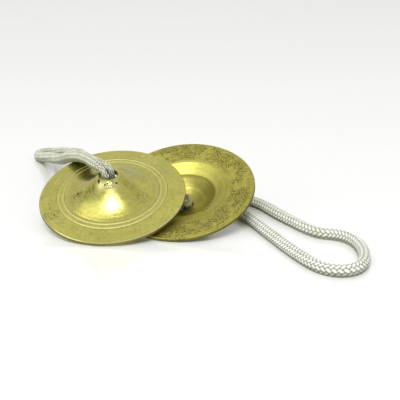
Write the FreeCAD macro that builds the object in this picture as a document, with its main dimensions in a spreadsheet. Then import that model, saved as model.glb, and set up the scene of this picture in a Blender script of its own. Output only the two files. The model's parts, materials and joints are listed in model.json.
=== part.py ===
import FreeCAD, Part
import math
import os
import Sketcher

# A pair of small brass hand cymbals (the kind tied on cords and struck edge to edge).
# Each cymbal is one turned casting with a braided cotton cord through the hole in its boss.
# The cord is a finger loop: both strands pass the hole and are tied in one knot inside the bell.
# The left cymbal lies dome up on the right one, which lies hollow up.
# Millimetres.  +Z is up and the table is z = 0.  +X runs from the left cymbal to the right one.

Vector = FreeCAD.Vector
os.makedirs("parts", exist_ok=True)
doc = FreeCAD.newDocument("hand_cymbals")

# ------------------------------------------------------------------ driving dimensions

DIMENSIONS = (
    # the cymbal, from its axis and from the plane its rim strikes on
    ("rim_radius", 38.0),
    ("edge_bevel", 0.5),
    ("rim_thickness", 2.0),
    ("strike_land_radius", 33.0),
    ("foot_radius", 23.6),
    ("foot_height", 3.5),
    ("foot_inner_height", 1.5),
    ("cup_radius", 16.5),
    ("cup_mouth_height", 4.5),
    ("flank_radius", 15.6),
    ("flank_height", 6.7),
    ("neck_radius", 8.4),
    ("neck_height", 12.0),
    ("crown_radius", 5.7),
    ("crown_shoulder_radius", 7.2),
    ("crown_shoulder_height", 13.3),
    ("boss_height", 14.6),
    ("boss_underside_height", 11.8),
    ("cup_wall_radius", 10.6),
    ("cup_wall_height", 9.2),
    ("cord_hole_radius", 4.1),
    # the two turned rings on the outside
    ("outer_ring_radius", 28.0),
    ("inner_ring_radius", 25.4),
    ("ring_half_width", 0.45),
    ("ring_depth", 0.35),
    # the cords
    ("cord_diameter", 5.2),
    ("neck_diameter", 3.2),
    ("strand_offset", 1.75),
    ("knot_top_height", 10.7),
    ("knot_waist_height", 7.6),
    ("knot_bottom_height", 4.4),
    ("knot_waist_radius", 5.8),
    ("knot_end_radius", 3.9),
    # where each cymbal lies: centre of its striking plane, lean from upright and lean direction
    ("left_centre_x", -18.0),
    ("left_centre_y", -1.8),
    ("left_centre_z", 13.3),
    ("left_lean", 20.7),
    ("left_lean_direction", 261.5),
    ("right_centre_x", 18.1),
    ("right_centre_y", 2.0),
    ("right_centre_z", 16.6),
    ("right_lean", 23.1),
    ("right_lean_direction", 252.6),
)

sheet = doc.addObject("Spreadsheet::Sheet", "dimensions")
for row, (alias, value) in enumerate(DIMENSIONS, start=1):
    sheet.set(f"A{row}", alias)
    sheet.set(f"B{row}", str(value))
    sheet.setAlias(f"B{row}", alias)
doc.recompute()


def size(alias):
    """The value of one named dimension."""
    return float(sheet.get(alias))


# ------------------------------------------------------------------ sketch helpers

def origin_object(body, role):
    """The body's own origin plane or axis with this role."""
    return next(item for item in body.Origin.OriginFeatures if item.Role == role)


def half_section(body, name):
    """An empty sketch on the body's XZ plane: x is the distance from the axis, y is height."""
    sketch = body.newObject("Sketcher::SketchObject", name)
    sketch.AttachmentSupport = (origin_object(body, "XZ_Plane"), [""])
    sketch.MapMode = "FlatFace"
    return sketch


def pin_vertex(sketch, geometry, vertex, radius_formula, height_formula, point, label):
    """Hold one sketch vertex at a radius and a height that are bound to the sheet."""
    formulas = (("DistanceX", radius_formula, point.x), ("DistanceY", height_formula, point.y))
    for kind, formula, value in formulas:
        index = sketch.addConstraint(Sketcher.Constraint(kind, -1, 1, geometry, vertex, value))
        sketch.renameConstraint(index, f"{label}_{kind}")
        sketch.setExpression(f"Constraints.{label}_{kind}", formula)


def closed_outline(sketch, corners):
    """Join named corners into a closed outline.

    A corner is (label, radius, height, bulge): radius and height are formulas of the sheet.
    When the edge that leaves the corner is an arc, bulge holds the radius and height of a
    third point on it.
    """
    points = [Vector(formula_value(radius), formula_value(height), 0)
              for label, radius, height, bulge in corners]
    edges = []
    for index, (label, radius, height, bulge) in enumerate(corners):
        start = points[index]
        end = points[(index + 1) % len(points)]
        if bulge is None:
            edges.append(sketch.addGeometry(Part.LineSegment(start, end), False))
            continue
        middle = Vector(formula_value(bulge[0]), formula_value(bulge[1]), 0)
        edges.append(sketch.addGeometry(Part.Arc(start, middle, end), False))
    for index, edge in enumerate(edges):
        label, radius, height, bulge = corners[index]
        ends = edge_ends(sketch, edge, points[index])
        pin_vertex(sketch, edge, ends[0], radius, height, points[index], f"{label}_start")
        following = (index + 1) % len(edges)
        next_corner = corners[following]
        next_point = points[following]
        pin_vertex(sketch, edge, ends[1], next_corner[1], next_corner[2], next_point, f"{label}_end")
        if bulge is not None:
            arc_radius = sketch.Geometry[edge].Radius
            constraint = sketch.addConstraint(Sketcher.Constraint("Radius", edge, arc_radius))
            sketch.renameConstraint(constraint, f"{label}_arc_radius")


def edge_ends(sketch, edge, start):
    """The vertex numbers of an edge in outline order: an arc may be stored the other way round."""
    if sketch.getPoint(edge, 1).distanceToPoint(start) < 1e-6:
        return 1, 2
    return 2, 1


def formula_value(formula):
    """The value of a short formula of sheet aliases, such as 'rim_radius - edge_bevel'."""
    total = 0.0
    sign = 1.0
    for word in formula.replace("dimensions.", "").split():
        if word in "+-":
            sign = 1.0 if word == "+" else -1.0
            continue
        total += sign * (size(word) if word.isidentifier() else float(word))
        sign = 1.0
    return total


def turned_body(label, sketch_name, corners):
    """A PartDesign body turned about Z from one closed half section."""
    body = doc.addObject("PartDesign::Body", label)
    body.Label = label
    sketch = half_section(body, sketch_name)
    closed_outline(sketch, corners)
    turning = body.newObject("PartDesign::Revolution", f"{label}_turning")
    turning.Profile = sketch
    turning.ReferenceAxis = (sketch, ["V_Axis"])
    turning.Angle = 360.0
    doc.recompute()
    return body


# ------------------------------------------------------------------ the cymbal

CYMBAL_OUTLINE = (
    ("edge_under", "dimensions.rim_radius - dimensions.edge_bevel", "0", None),
    ("edge_low", "dimensions.rim_radius", "dimensions.edge_bevel", None),
    ("edge_high", "dimensions.rim_radius", "dimensions.rim_thickness - dimensions.edge_bevel", None),
    ("edge_top", "dimensions.rim_radius - dimensions.edge_bevel", "dimensions.rim_thickness", None),
    ("foot", "dimensions.foot_radius", "dimensions.foot_height",
     ("dimensions.flank_radius", "dimensions.flank_height")),
    ("neck", "dimensions.neck_radius", "dimensions.neck_height",
     ("dimensions.crown_shoulder_radius", "dimensions.crown_shoulder_height")),
    ("crown", "dimensions.crown_radius", "dimensions.boss_height", None),
    ("hole_top", "dimensions.cord_hole_radius", "dimensions.boss_height", None),
    ("hole_bottom", "dimensions.cord_hole_radius", "dimensions.boss_underside_height",
     ("dimensions.cup_wall_radius", "dimensions.cup_wall_height")),
    ("cup_mouth", "dimensions.cup_radius", "dimensions.cup_mouth_height", None),
    ("foot_inside", "dimensions.foot_radius", "dimensions.foot_inner_height", None),
    ("strike_land", "dimensions.strike_land_radius", "0", None),
)


def turn_rings(body, label):
    """Cut the two shallow V rings outside the bell's foot; they follow the rim's slope."""
    slope = (size("foot_height") - size("rim_thickness"))
    slope /= size("rim_radius") - size("edge_bevel") - size("foot_radius")
    sketch = half_section(body, f"{label}_ring_profile")
    half = size("ring_half_width")
    above = 0.2
    for ring in ("outer_ring_radius", "inner_ring_radius"):
        radius = size(ring)
        surface = size("foot_height") - slope * (radius - size("foot_radius"))
        corners = (
            ("left", f"dimensions.{ring} - dimensions.ring_half_width", surface + above, radius - half),
            ("right", f"dimensions.{ring} + dimensions.ring_half_width", surface + above, radius + half),
            ("bottom", f"dimensions.{ring}", surface - size("ring_depth"), radius),
        )
        vertices = [Vector(across, height, 0) for name, formula, height, across in corners]
        for index, (name, formula, height, across) in enumerate(corners):
            following = (index + 1) % len(corners)
            edge = sketch.addGeometry(Part.LineSegment(vertices[index], vertices[following]), False)
            tag = f"{ring}_{name}"
            pin_vertex(sketch, edge, 1, formula, f"{height}", vertices[index], f"{tag}_start")
            after = corners[following]
            pin_vertex(sketch, edge, 2, after[1], f"{after[2]}", vertices[following], f"{tag}_end")
    before = body.Tip.Shape.Volume
    groove = body.newObject("PartDesign::Groove", f"{label}_rings")
    groove.Profile = sketch
    groove.ReferenceAxis = (sketch, ["V_Axis"])
    groove.Angle = 360.0
    doc.recompute()
    removed = before - groove.Shape.Volume
    if removed < 1.0:
        raise RuntimeError(f"{label}: the rings cut nothing")
    print(f"{label}: rings remove {removed:.1f} mm3")


def lean_rotation(side):
    """Rotation that tips local +Z over by the side's lean, towards its lean direction."""
    direction = math.radians(size(f"{side}_lean_direction"))
    hinge_line = Vector(-math.sin(direction), math.cos(direction), 0)
    return FreeCAD.Rotation(hinge_line, size(f"{side}_lean"))


def cymbal_placement(side, dome_down):
    """Where a cymbal's own frame sits: its origin is the centre of the striking plane."""
    centre = Vector(*(size(f"{side}_centre_{axis}") for axis in "xyz"))
    rotation = lean_rotation(side)
    if dome_down:
        rotation = rotation.multiply(FreeCAD.Rotation(Vector(1, 0, 0), 180))
    return FreeCAD.Placement(centre, rotation)


KNOT_OUTLINE = (
    ("axis_bottom", "0", "dimensions.knot_bottom_height", None),
    ("bottom", "dimensions.knot_end_radius", "dimensions.knot_bottom_height",
     ("dimensions.knot_waist_radius", "dimensions.knot_waist_height")),
    ("top", "dimensions.knot_end_radius", "dimensions.knot_top_height", None),
    ("axis_top", "0", "dimensions.knot_top_height", None),
)

solids = []
placements = {}
for side, dome_down in (("left", False), ("right", True)):
    placements[side] = cymbal_placement(side, dome_down)
    cymbal = turned_body(f"{side}_cymbal", f"{side}_cymbal_section", CYMBAL_OUTLINE)
    turn_rings(cymbal, f"{side}_cymbal")
    knot = turned_body(f"{side}_knot", f"{side}_knot_section", KNOT_OUTLINE)
    for body in (cymbal, knot):
        body.Placement = placements[side]
        solids.append(body)

# ------------------------------------------------------------------ the cords

def rounded_path(points):
    """Straight runs joined by tangent arcs, each arc as large as its two runs allow."""
    edges = []
    radii = []
    here = points[0]
    for before, corner, after in zip(points, points[1:], points[2:]):
        inward = (corner - before).normalize()
        outward = (after - corner).normalize()
        turn = inward.getAngle(outward)
        shorter = min((corner - before).Length, (after - corner).Length)
        setback = 0.45 * shorter
        radius = setback / math.tan(turn / 2)
        arc_start = corner - inward * setback
        arc_end = corner + outward * setback
        bisector = (outward - inward).normalize()
        to_centre = math.hypot(radius, setback)
        arc_middle = corner + bisector * (to_centre - radius)
        edges.append(Part.LineSegment(here, arc_start).toShape())
        edges.append(Part.Arc(arc_start, arc_middle, arc_end).toShape())
        radii.append(radius)
        here = arc_end
    edges.append(Part.LineSegment(here, points[-1]).toShape())
    return Part.Wire(edges), radii


def tube(label, points, diameter):
    """A round tube along the rounded path, its volume compared with section times length."""
    wire, radii = rounded_path(points)
    heading = (points[1] - points[0]).normalize()
    section = Part.Wire([Part.Circle(points[0], heading, diameter / 2).toShape()])
    shape = wire.makePipeShell([section], True, False)
    expected = math.pi * diameter ** 2 / 4 * wire.Length
    ratio = shape.Volume / expected
    text = " ".join(f"{radius:.1f}" for radius in radii)
    print(f"{label}: length {wire.Length:.1f}, volume ratio {ratio:.4f}, radii {text}")
    if abs(ratio - 1) > 0.01:
        raise RuntimeError(f"{label}: the tube's volume is wrong")
    return shape, wire.Length


def hole_point(side, heading, offset, along):
    """A point at the boss: off the axis towards a heading, and along the axis past the hole."""
    placement = placements[side]
    towards = placement.Rotation.inverted().multVec(flat_direction(heading))
    towards.z = 0
    return placement.multVec(towards.normalize() * offset + Vector(0, 0, size("boss_height") + along))


def flat_direction(degrees):
    """A level unit vector at this angle from +X."""
    return Vector(math.cos(math.radians(degrees)), math.sin(math.radians(degrees)), 0)


# Free route of each cord, from the end of its first squeezed strand to the end of its second.
RIGHT_ROUTE = (
    (28.2, 9.2, 2.7), (37.5, 10.8, 2.7), (46.5, 8.0, 2.7), (52.2, -1.4, 2.7), (58.0, -15.4, 2.7),
    (65.6, -34.8, 2.7), (72.8, -52.2, 2.7), (79.0, -65.4, 2.7), (85.2, -71.8, 2.7),
    (92.8, -73.6, 2.7), (99.8, -69.8, 2.7), (104.3, -61.8, 2.7), (106.0, -51.6, 2.7),
    (104.9, -41.6, 2.7), (101.6, -33.2, 2.7), (95.4, -28.4, 2.7), (87.6, -27.2, 2.7),
    (80.8, -21.0, 2.7), (75.0, -10.8, 2.7), (67.2, 2.4, 2.7), (61.0, 15.4, 2.7),
    (54.8, 24.8, 2.7), (44.5, 27.0, 2.7), (34.2, 22.3, 2.7), (26.0, 15.6, 2.7),
)
LEFT_ROUTE = (
    (-25.0, -3.8, 33.3), (-30.5, 6.5, 33.6), (-36.5, 17.0, 32.8), (-43.0, 28.5, 31.0),
    (-49.0, 42.5, 25.5), (-55.5, 59.0, 18.5), (-62.0, 76.0, 11.5), (-68.4, 91.5, 5.4),
    (-74.2, 101.8, 2.7), (-80.2, 109.8, 2.7), (-79.9, 115.6, 2.7), (-76.1, 119.9, 2.7),
    (-70.4, 120.7, 2.9), (-65.6, 117.6, 4.0), (-62.4, 107.6, 7.3), (-56.5, 88.5, 13.4),
    (-49.5, 69.0, 19.4), (-43.0, 51.0, 25.8), (-37.5, 36.0, 31.0), (-32.0, 23.5, 32.8),
    (-26.5, 12.0, 33.6), (-20.8, 0.8, 34.0),
)
STRAND_SIDE = {"left": 225.0, "right": 350.0}
CORNER_ALONG = {"left": (6.0, 5.6), "right": (1.65, 1.5)}
ROUTES = {"left": LEFT_ROUTE, "right": RIGHT_ROUTE}


def squeezed_strand(side, strand, end_point):
    """Control points of one strand from the knot, out of the hole and round to the free route."""
    offset = size("strand_offset") if strand == 0 else -size("strand_offset")
    heights = (size("knot_top_height") - size("boss_height"), CORNER_ALONG[side][strand])
    return [hole_point(side, STRAND_SIDE[side], offset, along) for along in heights] + [end_point]


for side in ("left", "right"):
    route = [Vector(*point) for point in ROUTES[side]]
    loop, total = tube(f"{side}_cord", route, size("cord_diameter"))
    pieces = [loop]
    for strand, end_point in enumerate((route[0], route[-1])):
        points = squeezed_strand(side, strand, end_point)
        neck, neck_length = tube(f"{side}_cord strand {strand}", points, size("neck_diameter"))
        pieces.append(neck)
        total += neck_length
    whole = pieces[0].fuse(pieces[1:])
    print(f"{side}_cord: {total:.1f} mm from knot to knot, solids {len(whole.Solids)}")
    cord = doc.addObject("Part::Feature", f"{side}_cord")
    cord.Label = f"{side}_cord"
    cord.Shape = whole.Solids[0] if len(whole.Solids) == 1 else whole
    cord.Placement = FreeCAD.Placement()
    solids.append(cord)

# ------------------------------------------------------------------ checks and export

doc.recompute()
for item in doc.Objects:
    if "Invalid" in item.State or "Error" in item.State:
        raise RuntimeError(f"{item.Label} did not compute: {item.State}")
for item in solids:
    if item.Shape.isNull() or not item.Shape.isValid():
        raise RuntimeError(f"{item.Label} has no valid shape")
    box = item.Shape.BoundBox
    print(f"{item.Label}: {len(item.Shape.Solids)} solid, {item.Shape.Volume:.0f} mm3, "
          f"x {box.XMin:.2f} {box.XMax:.2f}, y {box.YMin:.2f} {box.YMax:.2f}, "
          f"z {box.ZMin:.2f} {box.ZMax:.2f}")
    item.Shape.exportStep(f"parts/{item.Label}.step")
for first in range(len(solids)):
    for second in range(first + 1, len(solids)):
        gap = solids[first].Shape.distToShape(solids[second].Shape)[0]
        shared = solids[first].Shape.common(solids[second].Shape).Volume
        if gap < 3:
            print(f"{solids[first].Label} / {solids[second].Label}: gap {gap:.2f}, shared {shared:.3f}")
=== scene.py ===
import json
import math

import bpy
import numpy as np
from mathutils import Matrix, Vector


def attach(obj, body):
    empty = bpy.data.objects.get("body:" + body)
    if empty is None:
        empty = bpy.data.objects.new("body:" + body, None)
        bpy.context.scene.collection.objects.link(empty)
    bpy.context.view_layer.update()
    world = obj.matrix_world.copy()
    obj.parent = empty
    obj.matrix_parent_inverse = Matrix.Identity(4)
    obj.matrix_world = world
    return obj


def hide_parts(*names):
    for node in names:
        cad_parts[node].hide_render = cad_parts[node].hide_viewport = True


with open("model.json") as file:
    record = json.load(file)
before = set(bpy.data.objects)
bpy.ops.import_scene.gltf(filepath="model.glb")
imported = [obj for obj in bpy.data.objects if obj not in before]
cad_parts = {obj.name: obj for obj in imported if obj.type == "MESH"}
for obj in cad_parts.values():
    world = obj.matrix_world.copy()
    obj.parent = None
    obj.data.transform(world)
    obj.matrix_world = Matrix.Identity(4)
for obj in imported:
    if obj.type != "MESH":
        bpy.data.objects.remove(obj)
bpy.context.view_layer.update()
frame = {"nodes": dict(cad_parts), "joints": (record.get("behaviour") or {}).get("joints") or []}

# A pair of brass hand cymbals on braided cords, on a pale table under soft studio light.
# Metres, in the part's own frame: +Z up, the table is z = 0.

MM = 0.001
scene = bpy.context.scene
scene.view_settings.view_transform = "Standard"

# ------------------------------------------------------------------ camera

camera = bpy.data.objects.new("camera", bpy.data.cameras.new("camera"))
camera.data.lens = 75.96
camera.data.sensor_width = 36.0
camera.location = Vector((27.3, -416.6, 156.8)) * MM
camera.rotation_euler = (math.radians(70.69), 0, 0)
scene.collection.objects.link(camera)
scene.camera = camera

# ------------------------------------------------------------------ where each cymbal sits

joints = {joint["name"]: joint for joint in frame["joints"]}


class Seat:
    """One cymbal's own frame: the centre of its striking plane, and up is towards its boss."""

    def __init__(self, joint_name, dome_down):
        joint = joints[joint_name]
        self.centre = np.array(joint["pos_m"], float)
        self.up = np.array(joint["axis"], float)
        if dome_down:
            self.up = -self.up
        self.up /= np.linalg.norm(self.up)
        self.east = self.level(0.0)
        self.north = np.cross(self.up, self.east)

    def level(self, heading):
        """The direction in the cymbal's plane that lies along a compass heading, in degrees from +X."""
        flat = np.array((math.cos(math.radians(heading)), math.sin(math.radians(heading)), 0))
        flat -= self.up * flat.dot(self.up)
        return flat / np.linalg.norm(flat)

    def at(self, height, across=0.0, heading=0.0):
        """A point this high above the striking plane and this far off the axis, in millimetres."""
        return self.centre + (self.up * height + self.level(heading) * across) * MM


seats = {"left": Seat("left_spin", False), "right": Seat("right_spin", True)}
BOSS_HEIGHT = 14.6
KNOT_TOP = 10.7
# Where the two strands pass the hole: how far off the axis, towards which heading, and how far
# above the boss they bend away.
STRANDS = {
    "left": ((2.25, 206.0, 2.7), (1.9, 62.0, 3.1)),
    "right": ((1.75, 350.0, 1.65), (1.75, 170.0, 1.5)),
}

# ------------------------------------------------------------------ cords: the lines they follow

CORD = 5.2 * MM
CROWNS = 5.9 * MM     # over the raised yarns
SQUEEZED = 3.3 * MM   # in the hole

# Each loop from its first strand to its second, in millimetres.
ROUTES = {
    "right": (
        (27.6, 9.0, 2.5), (37.0, 10.6, 2.4), (46.5, 8.0, 2.25), (52.2, -1.4, 2.25),
        (58.0, -15.4, 2.25), (65.6, -34.8, 2.25), (72.8, -52.2, 2.3), (79.0, -65.0, 2.4),
        (85.2, -71.0, 2.5), (92.4, -72.4, 2.6), (98.6, -68.8, 2.6), (102.8, -61.2, 2.6),
        (104.6, -51.6, 2.6), (103.9, -41.4, 2.6), (101.0, -33.0, 2.6), (95.2, -28.0, 2.5),
        (87.6, -26.4, 2.4), (81.4, -20.0, 2.25), (75.8, -9.8, 2.15), (68.1, 3.6, 2.15),
        (62.2, 16.4, 2.15), (54.8, 25.6, 2.15), (44.5, 27.4, 2.3), (34.2, 22.3, 2.5),
        (26.0, 15.6, 2.5),
    ),
    "left": (
        (-25.4, -3.2, 30.6), (-30.6, 8.0, 30.3), (-36.4, 17.6, 29.4), (-43.2, 24.8, 27.3),
        (-49.9, 38.2, 21.7), (-57.2, 56.0, 16.8), (-64.6, 78.0, 11.2), (-70.0, 94.0, 6.4),
        (-74.2, 103.4, 3.5), (-77.9, 110.0, 2.7), (-78.0, 115.6, 2.7), (-74.0, 119.4, 2.7),
        (-68.8, 118.0, 2.9), (-65.2, 110.2, 4.9), (-60.4, 94.6, 9.6), (-53.8, 74.6, 15.5),
        (-46.4, 50.2, 21.7), (-39.8, 29.0, 28.1), (-33.4, 17.4, 28.4), (-27.4, 6.2, 29.4),
        (-22.4, -2.6, 30.8),
    ),
}


def cord_route(side):
    """Control points of the whole cord in metres: from the knot out of the hole, and back to it."""
    seat = seats[side]
    ends = [(seat.at(KNOT_TOP, across, heading), seat.at(BOSS_HEIGHT + rise, across, heading))
            for across, heading, rise in STRANDS[side]]
    loop = [np.array(point) * MM for point in ROUTES[side]]
    return [*ends[0], *loop, ends[1][1], ends[1][0]]


SPLINE_RESOLUTION = 40


def spline_points(name, points):
    """Points read from the smooth NURBS line of these control points."""
    curve = bpy.data.curves.new(name, "CURVE")
    curve.dimensions = "3D"
    spline = curve.splines.new("NURBS")
    spline.points.add(len(points) - 1)
    for control, point in zip(spline.points, points):
        control.co = (*point, 1.0)
    spline.order_u = 3
    spline.use_endpoint_u = True
    spline.resolution_u = SPLINE_RESOLUTION
    carrier = bpy.data.objects.new(name, curve)
    mesh = bpy.data.meshes.new_from_object(carrier)
    line = np.array([vertex.co for vertex in mesh.vertices], float)
    bpy.data.objects.remove(carrier)
    bpy.data.meshes.remove(mesh)
    bpy.data.curves.remove(curve)
    return line


def evenly(line, step):
    """The same line with its points this far apart."""
    along = np.concatenate([[0], np.cumsum(np.linalg.norm(np.diff(line, axis=0), axis=1))])
    stations = np.linspace(0, along[-1], max(8, round(along[-1] / step)) + 1)
    points = np.stack([np.interp(stations, along, line[:, axis]) for axis in range(3)], axis=1)
    return points, stations


def travelling_frame(points):
    """Two directions across the line at each point, carried along it without twisting."""
    tangent = np.gradient(points, axis=0)
    tangent /= np.linalg.norm(tangent, axis=1)[:, None]
    side = np.cross(tangent[0], (0.0, 0.0, 1.0))
    if np.linalg.norm(side) < 0.2:
        side = np.cross(tangent[0], (1.0, 0.0, 0.0))
    sides = []
    for direction in tangent:
        side = side - direction * side.dot(direction)
        side /= np.linalg.norm(side)
        sides.append(side)
    sides = np.array(sides)
    return sides, np.cross(tangent, sides), tangent


# ------------------------------------------------------------------ braid geometry

CARRIERS = 8          # strands laid each way
PITCH = 2.25 * MM     # travel between one strand and the next
RELIEF = 0.6 * MM     # from the lowest yarn to the highest
RING = 80             # points round the cord
STEP = 0.2 * MM       # between one ring of points and the next
TABLE_CLEARANCE = 0.02 * MM
CAP = 0.25 * MM       # how far a cut end bulges


def smooth(value, low, high):
    """0 below low, 1 above high and an even S between."""
    part = np.clip((value - low) / (high - low), 0, 1)
    return part * part * (3 - 2 * part)


def braid_height(angle, along, pitch):
    """Surface height from 0 to 1 of a two-over two-under round braid, and the yarn coordinate."""
    turn = CARRIERS * angle / (2 * math.pi)
    first = turn + along / pitch
    second = turn - along / pitch
    heights = []
    for own, other, shift in ((first, second, 1.0), (second, first, 3.0)):
        strand = np.floor(own)
        across = own - strand - 0.5
        crown = np.sqrt(np.clip(1 - (1.9 * across) ** 2, 0, 1))
        weave = np.tanh(1.5 * np.cos(0.5 * math.pi * (strand + other - shift)))
        heights.append(0.5 * crown + 0.42 * weave + 0.08)
    top = np.maximum(*heights)
    on_first = heights[0] > heights[1]
    yarn = np.where(on_first, first - np.floor(first), second - np.floor(second))
    return np.clip(top, 0, 1), yarn


def braided_mesh(name, line, radius_at, pitch=PITCH, seed=1, caps=False, flatness=((0, 1), (1, 1))):
    """A tube with a real braided surface along the line. Attributes carry the braid's relief.

    flatness pairs a fraction of the length with how much wider than round the cord lies there.
    """
    points, stations = evenly(line, STEP)
    sides, ups, tangent = travelling_frame(points)
    rng = np.random.default_rng(seed)
    count = len(points)
    waves = [(rng.uniform(0, 6.28), rng.uniform(8, 30) * MM) for _ in range(5)]
    slow = sum(np.sin(stations / length + phase) for phase, length in waves) / 5
    twist = 0.35 * slow + 2.2 * stations / stations[-1]
    stretch = stations + 0.5 * MM * sum(
        np.sin(stations / (1.7 * length) + 2 * phase) for phase, length in waves) / 5
    radius = np.array([radius_at(s, stations[-1]) for s in stations])
    angles = np.linspace(0, 2 * math.pi, RING, endpoint=False)
    angle, along = np.meshgrid(angles, stretch)
    scale = radius[:, None] / (CORD / 2)
    height, yarn = braid_height(angle + twist[:, None], along, pitch)
    uneven = 0.02 * np.sin(3 * angle + 40 * slow[:, None]) * slow[:, None]
    depth = RELIEF * scale
    shell = radius[:, None] * (1 + uneven) - depth * (1 - height)
    offset = shell[..., None] * (np.cos(angles)[None, :, None] * sides[:, None, :]
                                 + np.sin(angles)[None, :, None] * ups[:, None, :])
    level = np.cross(tangent, (0.0, 0.0, 1.0))
    level /= np.maximum(np.linalg.norm(level, axis=1), 0.05)[:, None]
    wide = np.interp(stations / stations[-1], *zip(*flatness))[:, None, None]
    sideways = (offset * level[:, None, :]).sum(axis=2, keepdims=True) * level[:, None, :]
    verts = (points[:, None, :] + sideways * wide + (offset - sideways) / wide ** 0.8).reshape(-1, 3)
    verts[:, 2] = np.maximum(verts[:, 2], TABLE_CLEARANCE)
    row = np.arange(count - 1)[:, None] * RING
    col = np.arange(RING)[None, :]
    after = (col + 1) % RING
    quads = np.stack([row + col, row + after, row + RING + after, row + RING + col], axis=-1)
    faces = quads.reshape(-1, 4).tolist()
    relief = height.reshape(-1)
    yarns = yarn.reshape(-1)
    # how far each point faces down, for the painted shade on the cord's underside
    slope = offset[..., 2] / np.linalg.norm(offset, axis=2)
    underside_shade = smooth(-slope, -0.35, 0.55).reshape(-1)
    if caps:
        for end, order in ((0, -1), (count - 1, 1)):
            verts = np.vstack([verts, points[end] + order * tangent[end] * CAP])
            relief = np.append(relief, 0.5)
            yarns = np.append(yarns, 0.5)
            underside_shade = np.append(underside_shade, 0.5)
            hub = len(verts) - 1
            base = end * RING
            for index in range(RING):
                pair = (base + index, base + (index + 1) % RING)
                faces.append((hub, *pair) if order > 0 else (hub, *pair[::-1]))
    mesh = bpy.data.meshes.new(name)
    mesh.from_pydata(verts.tolist(), [], faces)
    mesh.polygons.foreach_set("use_smooth", [True] * len(mesh.polygons))
    for title, values in (("relief", relief), ("yarn", yarns), ("under", underside_shade)):
        layer = mesh.attributes.new(title, "FLOAT", "POINT")
        layer.data.foreach_set("value", values.astype(np.float32))
    mesh.update()
    piece = bpy.data.objects.new(name, mesh)
    scene.collection.objects.link(piece)
    return piece, points


# ------------------------------------------------------------------ shader helpers

class Shader:
    """A material's node tree with short ways to add to it."""

    def __init__(self, name):
        self.material = bpy.data.materials.new(name)
        self.material.use_nodes = True
        self.tree = self.material.node_tree
        self.tree.nodes.clear()
        self.surface = self.node("ShaderNodeBsdfPrincipled")
        output = self.node("ShaderNodeOutputMaterial")
        self.tree.links.new(self.surface.outputs["BSDF"], output.inputs["Surface"])

    def node(self, kind, **settings):
        made = self.tree.nodes.new(kind)
        for key, value in settings.items():
            setattr(made, key, value)
        return made

    def feed(self, socket, value):
        """Link a socket's source, or set a plain number, vector or colour on it."""
        if isinstance(value, bpy.types.NodeSocket):
            self.tree.links.new(value, socket)
        else:
            socket.default_value = value

    def math(self, operation, *values, clamp=False):
        made = self.node("ShaderNodeMath", operation=operation, use_clamp=clamp)
        for socket, value in zip(made.inputs, values):
            self.feed(socket, value)
        return made.outputs[0]

    def vector(self, operation, *values, out=0):
        made = self.node("ShaderNodeVectorMath", operation=operation)
        for socket, value in zip(made.inputs, values):
            self.feed(socket, value)
        return made.outputs[out]

    def combine(self, x, y, z):
        made = self.node("ShaderNodeCombineXYZ")
        for socket, value in zip(made.inputs, (x, y, z)):
            self.feed(socket, value)
        return made.outputs[0]

    def noise(self, vector, scale, detail=3.0, roughness=0.5, distortion=0.0):
        made = self.node("ShaderNodeTexNoise")
        self.feed(made.inputs["Vector"], vector)
        made.inputs["Scale"].default_value = scale
        made.inputs["Detail"].default_value = detail
        made.inputs["Roughness"].default_value = roughness
        made.inputs["Distortion"].default_value = distortion
        return made.outputs["Fac"]

    def step(self, value, low, high):
        """0 to 1 as the value goes from low to high, eased."""
        made = self.node("ShaderNodeMapRange", interpolation_type="SMOOTHSTEP")
        self.feed(made.inputs["Value"], value)
        self.feed(made.inputs["From Min"], low)
        self.feed(made.inputs["From Max"], high)
        return made.outputs["Result"]

    def band(self, value, centre, half, soft):
        """1 within half of the centre, falling to 0 over soft."""
        away = self.math("ABSOLUTE", self.math("SUBTRACT", value, centre))
        return self.math("SUBTRACT", 1.0, self.step(away, half, half + soft))

    def mix(self, amount, first, second):
        made = self.node("ShaderNodeMix", data_type="RGBA")
        self.feed(made.inputs[0], amount)
        self.feed(made.inputs[6], first)
        self.feed(made.inputs[7], second)
        return made.outputs[2]

    def attribute(self, name):
        return self.node("ShaderNodeAttribute", attribute_name=name).outputs["Fac"]

    def bump(self, height):
        """Bump from a height in metres."""
        made = self.node("ShaderNodeBump")
        made.inputs["Strength"].default_value = 1.0
        made.inputs["Distance"].default_value = 1.0
        self.feed(made.inputs["Height"], height)
        return made.outputs["Normal"]

    def millimetres(self):
        """The surface point in millimetres, in the object's own frame."""
        place = self.node("ShaderNodeTexCoord").outputs["Object"]
        return self.scaled(place, 1000.0)

    def scaled(self, vector, factor):
        made = self.node("ShaderNodeVectorMath", operation="SCALE")
        self.feed(made.inputs[0], vector)
        made.inputs["Scale"].default_value = factor
        return made.outputs[0]


# ------------------------------------------------------------------ brass

RING_RADII = (28.0, 25.4)         # the two turned rings, in millimetres like every radius here
RING_HALF = 0.30
BESIDE_RING = 0.75                # from each ring to the dull line beside it
DULL_TARNISH = (0.34, 0.32, 0.085, 1)
DULL_LATHE = (0.36, 0.335, 0.09, 1)
PALE_LATHE = (0.72, 0.67, 0.22, 1)
PALE_SCRATCH = (0.82, 0.78, 0.42, 1)
# painted highlight colour for the turned rings and the rim's top edge
PAINTED_HIGHLIGHT = (0.92, 0.89, 0.56, 1)
# painted highlight colour for the front of the boss's shoulder
SHOULDER_HIGHLIGHT = (0.93, 0.88, 0.50, 1)
# dark colour for real grime in pits, streaks, specks and nicks, and for painted shade in the ring lines,
# crease, rim wall and bore
GRIME_AND_SHADE = (0.055, 0.05, 0.012, 1)


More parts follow.
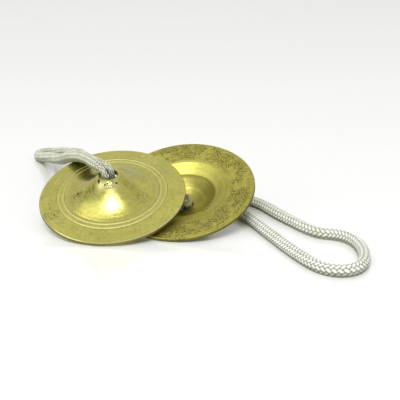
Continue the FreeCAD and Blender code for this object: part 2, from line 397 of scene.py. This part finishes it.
def brass_material(name, seat, seed, tones, pits, marks, worn_headings):
    """Turned, lightly tarnished brass: lathe marks about the cymbal's axis, pits and dull patches, with
    painted highlights on the rings, rim edge and boss shoulder and painted shade beside the rings, in
    the crease, on the rim wall and in the bore.

    pits holds rings (radius, half, soft, amount); marks holds places (east, north, reach, kind).
    """
    s = Shader(name)
    place = s.vector("SUBTRACT", s.millimetres(), tuple(seat.centre * 1000.0))
    east = s.vector("DOT_PRODUCT", place, tuple(seat.east), out=1)
    north = s.vector("DOT_PRODUCT", place, tuple(seat.north), out=1)
    radius = s.math("SQRT", s.math("ADD", s.math("MULTIPLY", east, east),
                                   s.math("MULTIPLY", north, north)))
    heading = s.math("ARCTAN2", north, east)
    normal = s.node("ShaderNodeTexCoord").outputs["Normal"]
    outside = s.step(s.vector("DOT_PRODUCT", normal, tuple(seat.up), out=1), -0.08, 0.08)
    inside = s.math("SUBTRACT", 1.0, outside)

    def both(first, second):
        return s.math("MULTIPLY", first, second)

    def either(first, second):
        return s.math("MAXIMUM", first, second)

    # concentric lathe marks: noise that changes fast with the radius and slowly round the axis
    fine = s.noise(s.combine(both(radius, 3.4), both(heading, 1.6), float(seed)), 1.0, 2.0, 0.6)
    coarse = s.noise(s.combine(both(radius, 0.8), both(heading, 0.5), seed + 7.0), 1.0, 2.0, 0.5)
    # scratches from handling: long thin noise across the marks
    scratch = s.noise(s.combine(both(radius, 0.16), both(heading, 30.0), seed + 3.0), 1.0, 2.0, 0.7)
    # broad patches of tarnish, and a finer mottle
    patches = s.noise(s.vector("ADD", place, (seed * 11.0, 0, 0)), 0.07, 3.0, 0.6, 0.6)
    mottle = s.noise(place, 0.55, 4.0, 0.65)
    # pits: small dark spots and short marks round the axis, gathered in rings and in loose drifts
    grain = s.noise(s.vector("ADD", place, (0, seed * 5.0, 0)), 2.6, 2.0, 0.5)
    scribble = s.noise(s.combine(both(radius, 2.2), both(heading, 24.0), seed + 19.0), 1.0, 2.0, 0.5)
    gather = s.noise(place, 0.17, 2.0, 0.5)
    zone = 0.0
    for centre, half, soft, amount in pits:
        zone = either(zone, both(s.band(radius, centre, half, soft), amount))
    zone = both(zone, s.step(gather, 0.26, 0.5))
    streaked = 0.0
    nicked = 0.0
    brushed = 0.0
    for mark_east, mark_north, reach, kind in marks:
        away = s.math("SQRT", s.math("ADD", s.math("POWER", s.math("SUBTRACT", east, mark_east), 2.0),
                                     s.math("POWER", s.math("SUBTRACT", north, mark_north), 2.0)))
        here = s.math("SUBTRACT", 1.0, s.step(away, 0.45 * reach, reach))
        if kind == "pits":
            zone = either(zone, both(here, 0.8))
        elif kind == "streaks":
            streaked = either(streaked, here)
        elif kind == "brushed":
            brushed = either(brushed, here)
        else:
            nicked = either(nicked, here)
    limit = s.math("SUBTRACT", 0.76, both(zone, 0.205))
    pitted = s.step(s.math("SUBTRACT", either(grain, scribble), limit), 0.0, 0.03)
    streaked = both(streaked, s.step(s.noise(place, 0.8, 3.0, 0.6, 1.2), 0.46, 0.58))
    scratched = both(s.step(scratch, 0.62, 0.72), s.math("ADD", 0.35, both(brushed, 0.65)))
    # the two turned rings get a painted highlight, with a line of painted shade beside each, as the lit
    # and shaded edges of the grooves
    outer, inner = RING_RADII
    rings = both(either(*[s.band(radius, ring, RING_HALF, 0.2) for ring in RING_RADII]), outside)
    beside = both(either(s.band(radius, outer + BESIDE_RING, 0.06, 0.2),
                         s.band(radius, inner - BESIDE_RING, 0.06, 0.2)), outside)
    # painted shade in the crease inside the hollow
    crease = both(s.band(radius, 16.6, 0.2, 0.5), inside)
    # painted shade on the rim's side wall
    wall = s.band(radius, 38.1, 0.25, 0.12)
    # painted highlight along the rim's top bevel
    edge = both(s.band(radius, 37.6, 0.12, 0.12), outside)
    # worn specks on the lip of the boss, on the sides where the cord chafes it
    specks = 0.0
    for degrees, spread in worn_headings:
        turned = s.math("SUBTRACT", heading, math.radians(degrees))
        near = s.band(turned, 0.0, math.radians(spread), 0.12)
        chips = s.step(s.noise(place, 0.95, 2.0, 0.5), 0.49, 0.53)
        specks = either(specks, both(both(near, s.band(radius, 6.6, 0.8, 0.4)), chips))
    specks = both(specks, outside)
    # painted highlight on the front of the boss's shoulder
    shoulder_highlight = both(both(s.band(radius, 7.3, 0.8, 1.6), s.band(heading, -1.75, 0.6, 0.5)), outside)
    # painted shade in the bore of the hole
    bore = s.band(radius, 3.4, 0.9, 0.3)

    tone = s.mix(s.step(patches, 0.35, 0.68), *tones)
    tone = s.mix(both(s.step(mottle, 0.48, 0.68), 0.5), tone, DULL_TARNISH)
    tone = s.mix(both(s.step(fine, 0.45, 0.7), 0.3), tone, DULL_LATHE)
    tone = s.mix(both(s.step(coarse, 0.45, 0.7), 0.3), tone, PALE_LATHE)
    tone = s.mix(both(scratched, 0.5), tone, PALE_SCRATCH)
    # painted highlight on the rings and the rim's top edge
    tone = s.mix(either(both(rings, 0.5), both(edge, 0.45)), tone, PAINTED_HIGHLIGHT)
    # painted highlight on the boss's shoulder
    tone = s.mix(both(shoulder_highlight, 0.4), tone, SHOULDER_HIGHLIGHT)
    # dark mix: painted shade beside the rings, in the crease, on the rim wall and in the bore; real
    # grime in pits, streaks, specks and nicks
    dark = either(both(beside, 0.45), both(crease, 0.35))
    dark = either(dark, both(pitted, 0.85))
    dark = either(dark, both(streaked, 0.6))
    dark = either(dark, either(both(wall, 0.7), both(bore, 0.85)))
    dark = either(dark, either(specks, nicked))
    tone = s.mix(dark, tone, GRIME_AND_SHADE)
    s.feed(s.surface.inputs["Base Color"], tone)

    rough = s.math("ADD", s.math("ADD", 0.15, both(inside, 0.19)), both(fine, 0.08))
    rough = s.math("ADD", rough, both(s.step(patches, 0.4, 0.7), 0.08))
    rough = s.math("ADD", rough, both(bore, 0.6))
    rough = s.math("ADD", rough, both(either(dark, rings), 0.3), clamp=True)
    s.feed(s.surface.inputs["Roughness"], rough)
    s.feed(s.surface.inputs["Metallic"], s.math("SUBTRACT", 1.0, both(bore, 0.9)))

    relief = s.math("ADD", both(fine, 20e-6), both(coarse, 62e-6))
    relief = s.math("ADD", relief, both(scratch, 10e-6))
    relief = s.math("ADD", relief, both(mottle, 42e-6))
    relief = s.math("SUBTRACT", relief, both(pitted, 50e-6))
    relief = s.math("SUBTRACT", relief, both(either(specks, nicked), 90e-6))
    s.feed(s.surface.inputs["Normal"], s.bump(relief))
    return s.material


brass = {
    "left": brass_material(
        "brass_left", seats["left"], 2, ((0.66, 0.615, 0.15, 1), (0.54, 0.51, 0.13, 1)),
        ((19.0, 12.0, 4.0, 0.3), (33.0, 3.0, 2.0, 0.35)),
        ((16.6, -7.8, 6.0, "pits"), (9.3, -3.9, 4.5, "pits"), (-30.0, -16.0, 8.0, "pits"),
         (-10.5, -6.8, 5.5, "streaks"), (-17.0, -4.4, 4.0, "streaks"), (-17.0, -3.8, 0.9, "nick"),
         (-29.0, -18.0, 9.0, "brushed")),
        ((-80.0, 26.0), (-146.0, 9.0))),
    "right": brass_material(
        "brass_right", seats["right"], 5, ((0.53, 0.48, 0.098, 1), (0.42, 0.38, 0.078, 1)),
        ((30.5, 4.6, 2.2, 1.0), (35.5, 1.5, 1.0, 0.8), (20.0, 6.0, 4.0, 0.3)),
        ((12.2, 12.9, 0.7, "nick"), (13.6, 11.4, 0.6, "nick"), (10.6, 14.2, 0.8, "nick"),
         (5.6, -11.2, 9.0, "brushed"), (-2.0, 34.0, 10.0, "pits")), ()),
}
for side in seats:
    node = frame["nodes"][f"{side}_cymbal"]
    node.data.materials.clear()
    node.data.materials.append(brass[side])

# ------------------------------------------------------------------ cotton

def cotton_material(name, base_tone, soiled, seed):
    """Off-white braided cotton: fibre grain, yarn tone that varies, and painted shade between the yarns
    and on their undersides.
    """
    s = Shader(name)
    place = s.vector("ADD", s.millimetres(), (seed * 13.0, 0, 0))
    relief = s.attribute("relief")
    yarn = s.attribute("yarn")
    under = s.attribute("under")
    blotch = s.noise(place, 0.13, 3.0, 0.6)
    fibre = s.noise(place, 5.5, 3.0, 0.6)
    speckle = s.noise(place, 1.4, 3.0, 0.6)
    ply = s.math("SINE", s.math("MULTIPLY", yarn, 2 * math.pi * 3))
    tone = s.mix(s.step(blotch, 0.38, 0.68), base_tone, soiled)
    tone = s.mix(s.math("MULTIPLY", s.step(speckle, 0.5, 0.7), 0.45), tone, (0.40, 0.42, 0.29, 1))
    # painted shade on the cord's underside
    tone = s.mix(s.math("MULTIPLY", under, 0.75), tone, (0.25, 0.28, 0.15, 1))
    # painted shade in the gaps between the yarns
    gaps = s.math("SUBTRACT", 1.0, s.step(relief, 0.42, 0.96))
    tone = s.mix(s.math("MULTIPLY", gaps, 0.97), tone, (0.05, 0.055, 0.025, 1))
    s.feed(s.surface.inputs["Base Color"], tone)
    s.surface.inputs["Roughness"].default_value = 0.86
    s.surface.inputs["Sheen Weight"].default_value = 0.2
    s.surface.inputs["Sheen Roughness"].default_value = 0.5
    s.surface.inputs["Specular IOR Level"].default_value = 0.2
    grain = s.math("ADD", s.math("MULTIPLY", fibre, 60e-6), s.math("MULTIPLY", ply, 18e-6))
    s.feed(s.surface.inputs["Normal"], s.bump(grain))
    return s.material


cotton = {
    "left": cotton_material("cotton_left", (0.80, 0.80, 0.67, 1), (0.58, 0.60, 0.44, 1), 1),
    "right": cotton_material("cotton_right", (0.92, 0.92, 0.85, 1), (0.78, 0.80, 0.68, 1), 2),
}
# the knot's cotton is the cord's cotton with painted shade: darker and browner
shaded_knot_cotton = cotton_material("cotton_knot_shaded", (0.56, 0.49, 0.25, 1), (0.36, 0.30, 0.13, 1), 3)

# ------------------------------------------------------------------ cords and knots

def cord_radius(along, total):
    """Squeezed in the hole, full size once clear of it."""
    near = min(along, total - along)
    ease = float(smooth(np.array(near), 5 * MM, 17 * MM))
    return SQUEEZED / 2 + (CROWNS - SQUEEZED) / 2 * ease


# How much wider than round each cord lies, at fractions of its length.
FLATNESS = {
    "left": ((0, 1), (0.05, 1), (0.12, 0.95), (0.3, 0.86), (0.42, 0.88), (0.47, 1.0), (0.53, 1.0),
             (0.6, 0.88), (0.88, 0.9), (0.95, 1), (1, 1)),
    "right": ((0, 1), (0.05, 1), (0.12, 1.2), (0.3, 1.2), (0.38, 1.05), (0.45, 0.95), (0.6, 0.95),
              (0.66, 1.05), (0.74, 1.3), (0.9, 1.34), (0.96, 1), (1, 1)),
}


KNOT_SEED = 11
TAIL_SEED = 20
KNOT_PITCH = 1.6 * MM
KNOT_TILT = 25.0
CORD_SEEDS = {"left": 3, "right": 8}
# Each knot: height of its middle, reach of its loops and radius of its tightened cord.
KNOTS = {"left": (7.6, 1.42, 1.7 * MM), "right": (8.8, 1.12, 1.45 * MM)}


def knot_line(seat, tilt, middle, reach):
    """The run of a cord tied in an overhand knot about the cymbal's axis, as a closed trefoil."""
    turn = np.linspace(0, 2 * math.pi, 220)
    x = reach * (np.sin(turn) + 2 * np.sin(2 * turn))
    y = reach * (np.cos(turn) - 2 * np.cos(2 * turn))
    z = -1.55 * np.sin(3 * turn)
    east = seat.level(tilt)
    north = np.cross(seat.up, east)
    centre = seat.at(middle, 0.5, 180.0)
    return centre + (x[:, None] * east + y[:, None] * north + z[:, None] * seat.up) * MM


def tail_line(seat, height, heading, spread, drop):
    """A cut end that comes out of the knot's side and droops."""
    start = seat.at(height + 0.2, 2.9, heading)
    middle = seat.at(height - 0.6, 2.9 + 0.6 * spread, heading + 9)
    end = seat.at(height - drop, 2.9 + spread, heading + 14)
    weights = np.linspace(0, 1, 40)[:, None]
    return (1 - weights) ** 2 * start + 2 * weights * (1 - weights) * middle + weights ** 2 * end


def joined(name, pieces):
    """One object from several meshes that share their attributes."""
    context = {"active_object": pieces[0], "selected_editable_objects": pieces}
    with bpy.context.temp_override(**context):
        bpy.ops.object.join()
    pieces[0].name = name
    return pieces[0]


# Each cut end: its heading, how far it spreads from the knot, and how far it drops.
TAILS = {"left": ((20.0, 3.2, 2.6), (205.0, 3.0, 2.8)), "right": ((200.0, 3.0, 2.2), (120.0, 2.8, 2.4))}


def tied_knot(side, seat):
    """The knot in one cymbal's hollow, with its two cut ends."""
    middle, reach, tight = KNOTS[side]

    def knot_radius(along, total):
        return tight

    loops = [braided_mesh(f"{side}_tied_knot", knot_line(seat, KNOT_TILT, middle, reach), knot_radius,
                          KNOT_PITCH, KNOT_SEED)[0]]
    for number, (heading, spread, drop) in enumerate(TAILS[side]):
        tail, _ = braided_mesh(f"{side}_tail_{number}", tail_line(seat, middle, heading, spread, drop),
                               knot_radius, KNOT_PITCH, TAIL_SEED + number, caps=True)
        loops.append(tail)
    return joined(f"{side}_tied_knot", loops)


for side, seat in seats.items():
    line = spline_points(f"{side}_line", cord_route(side))
    cord, path = braided_mesh(f"{side}_braided_cord", line, cord_radius,
                              seed=CORD_SEEDS[side], flatness=FLATNESS[side])
    cord.data.materials.append(cotton[side])
    knot = tied_knot(side, seat)
    knot.data.materials.append(shaded_knot_cotton)
    for piece, node in ((cord, f"{side}_cord"), (knot, f"{side}_knot")):
        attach(piece, f"{side}_cord")
        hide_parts(node)
    length = float(np.linalg.norm(np.diff(path, axis=0), axis=1).sum())
    print(f"{side} cord: {length * 1000:.1f} mm")
    tuple(seat.at(BOSS_HEIGHT))

# ------------------------------------------------------------------ table and light

floor_mesh = bpy.data.meshes.new("table_top")
FAR = 4.0
corners = [(-FAR, -FAR, 0), (FAR, -FAR, 0), (FAR, FAR, 0), (-FAR, FAR, 0)]
floor_mesh.from_pydata(corners, [], [(0, 1, 2, 3)])
floor = bpy.data.objects.new("table_top", floor_mesh)
scene.collection.objects.link(floor)
paper = Shader("white_paper")
tint = paper.noise(paper.millimetres(), 0.02, 2.0, 0.5)
paper.feed(paper.surface.inputs["Base Color"],
           paper.mix(tint, (0.955, 0.96, 0.955, 1), (0.97, 0.975, 0.97, 1)))
paper.surface.inputs["Roughness"].default_value = 0.24
paper.surface.inputs["Specular IOR Level"].default_value = 1.0
paper.surface.inputs["Coat Weight"].default_value = 1.0
paper.surface.inputs["Coat Roughness"].default_value = 0.16
floor_mesh.materials.append(paper.material)

world = bpy.data.worlds.new("studio")
world.use_nodes = True
scene.world = world
sky = world.node_tree.nodes["Background"]
sky.inputs["Color"].default_value = (1.0, 1.0, 0.985, 1)
sky.inputs["Strength"].default_value = 0.68


LAMP_DISTANCE = 3.0


def shine(name, kind, azimuth, elevation):
    """A new lamp aimed at the cymbals. Azimuth 0 is the camera's side and 90 is +X."""
    light = bpy.data.lights.new(name, kind)
    around = math.radians(azimuth)
    raised = math.radians(elevation)
    towards = Vector((math.sin(around) * math.cos(raised), -math.cos(around) * math.cos(raised),
                      math.sin(raised)))
    lamp = bpy.data.objects.new(name, light)
    lamp.location = Vector((0, 0, 0.015)) + towards * LAMP_DISTANCE
    lamp.rotation_euler = towards.to_track_quat("Z", "Y").to_euler()
    scene.collection.objects.link(lamp)
    return light


def softbox(name, azimuth, elevation, wide, tall, radiance):
    """A soft area light; wide and tall are its size over its distance."""
    light = shine(name, "AREA", azimuth, elevation)
    light.shape = "RECTANGLE"
    light.size = wide * LAMP_DISTANCE
    light.size_y = tall * LAMP_DISTANCE
    light.energy = radiance * math.pi * light.size * light.size_y


key = shine("key_light", "SUN", -9, 57)
key.angle = math.radians(30)
key.energy = 1.7
softbox("wide_light", -60, 60, 0.9, 0.45, 0.8)
softbox("window_light", -62, 16, 0.7, 0.5, 0.8)
softbox("back_light", 175, 62, 1.1, 0.7, 0.12)
